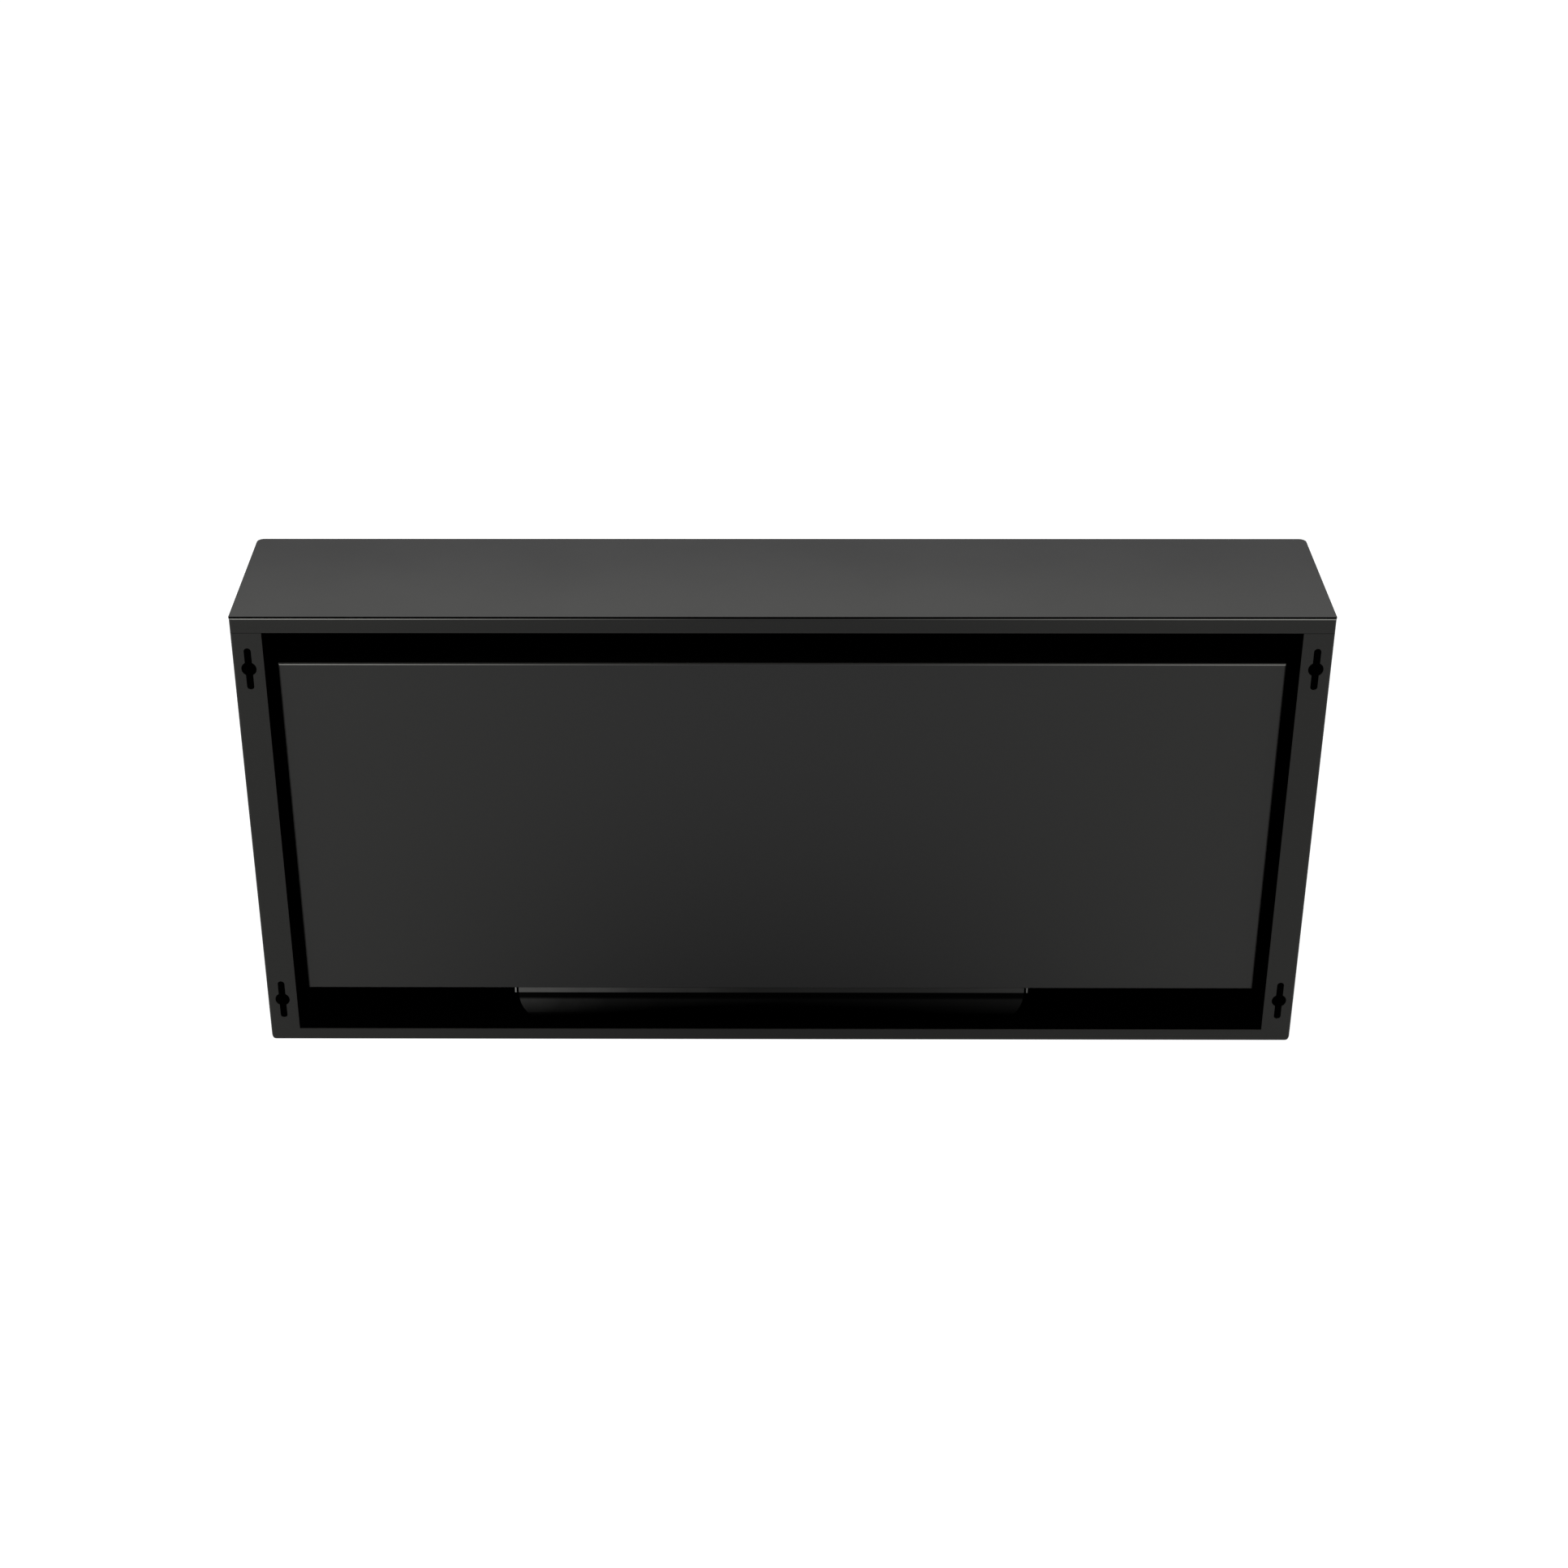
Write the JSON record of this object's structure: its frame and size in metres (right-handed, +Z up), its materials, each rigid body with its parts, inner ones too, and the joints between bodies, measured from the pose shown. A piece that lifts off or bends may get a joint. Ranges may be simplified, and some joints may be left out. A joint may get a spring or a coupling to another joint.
{
  "type": "wall-mounted fireplace",
  "caption": "Wall-hung fireplace: a folded steel casing with keyhole flanges round an air-gapped firebox, with a lift-out fuel burner, its sliding shutter and a glass guard.",
  "frame": {"origin": "middle of the back plane, which lies on the wall", "axes": "+X along the width, to the right seen from the front; +Y out of the back, into the wall; +Z up; the front faces -Y"},
  "size_m": [0.9, 0.153, 0.416],
  "materials": {
    "powder_black": "satin black powder coat",
    "firebox_black": "satin black heat-resistant paint",
    "bare_steel": "bare strip steel, browned by heat",
    "tinted_steel": "bare steel blackened by heat",
    "zinc_plate": "bright zinc plate",
    "stainless": "brushed along the length",
    "ceramic_wool": "matted white ceramic fibre",
    "tempered_glass": "clear, polished edges",
    "fibre_tape": "woven heat-resistant tape"
  },
  "bodies": {
    "casing": {"casing_shell": "powder_black", "top_panel": "powder_black", "lid_strip_left": "powder_black", "lid_strip_right": "powder_black", "lid_strip_front": "powder_black", "rear_top_rail": "powder_black", "firebox_back": "firebox_black", "firebox_ceiling": "firebox_black", "firebox_floor": "firebox_black", "firebox_left_cheek": "firebox_black", "firebox_right_cheek": "firebox_black", "burner_collar": "bare_steel", "collar_rear_strip": "bare_steel", "weld_studs": "zinc_plate", "flange_nuts": "zinc_plate", "cheek_screws": "firebox_black", "glass_clip_left": "firebox_black", "glass_clip_right": "firebox_black", "clip_liner_left": "fibre_tape", "clip_liner_right": "fibre_tape"},
    "burner": {"burner_tub": "tinted_steel", "burner_deck": "stainless", "ceramic_wool": "ceramic_wool", "shutter_guide_left": "stainless", "shutter_guide_right": "stainless", "guide_rivets": "stainless"},
    "shutter": {"burner_shutter": "stainless", "shutter_knob": "stainless"},
    "glass": {"glass_guard": "tempered_glass"}
  },
  "joints": [
    {"name": "burner_lift", "type": "slide", "parent": "casing", "child": "burner", "axis": [0, 0, 1], "range_m": [0, 0.1]},
    {"name": "shutter_slide", "type": "slide", "parent": "burner", "child": "shutter", "axis": [0, 1, 0], "range_m": [0, 0.042]},
    {"name": "glass_lift", "type": "slide", "parent": "casing", "child": "glass", "axis": [0, 0, 1], "range_m": [0, 0.13]}
  ]
}
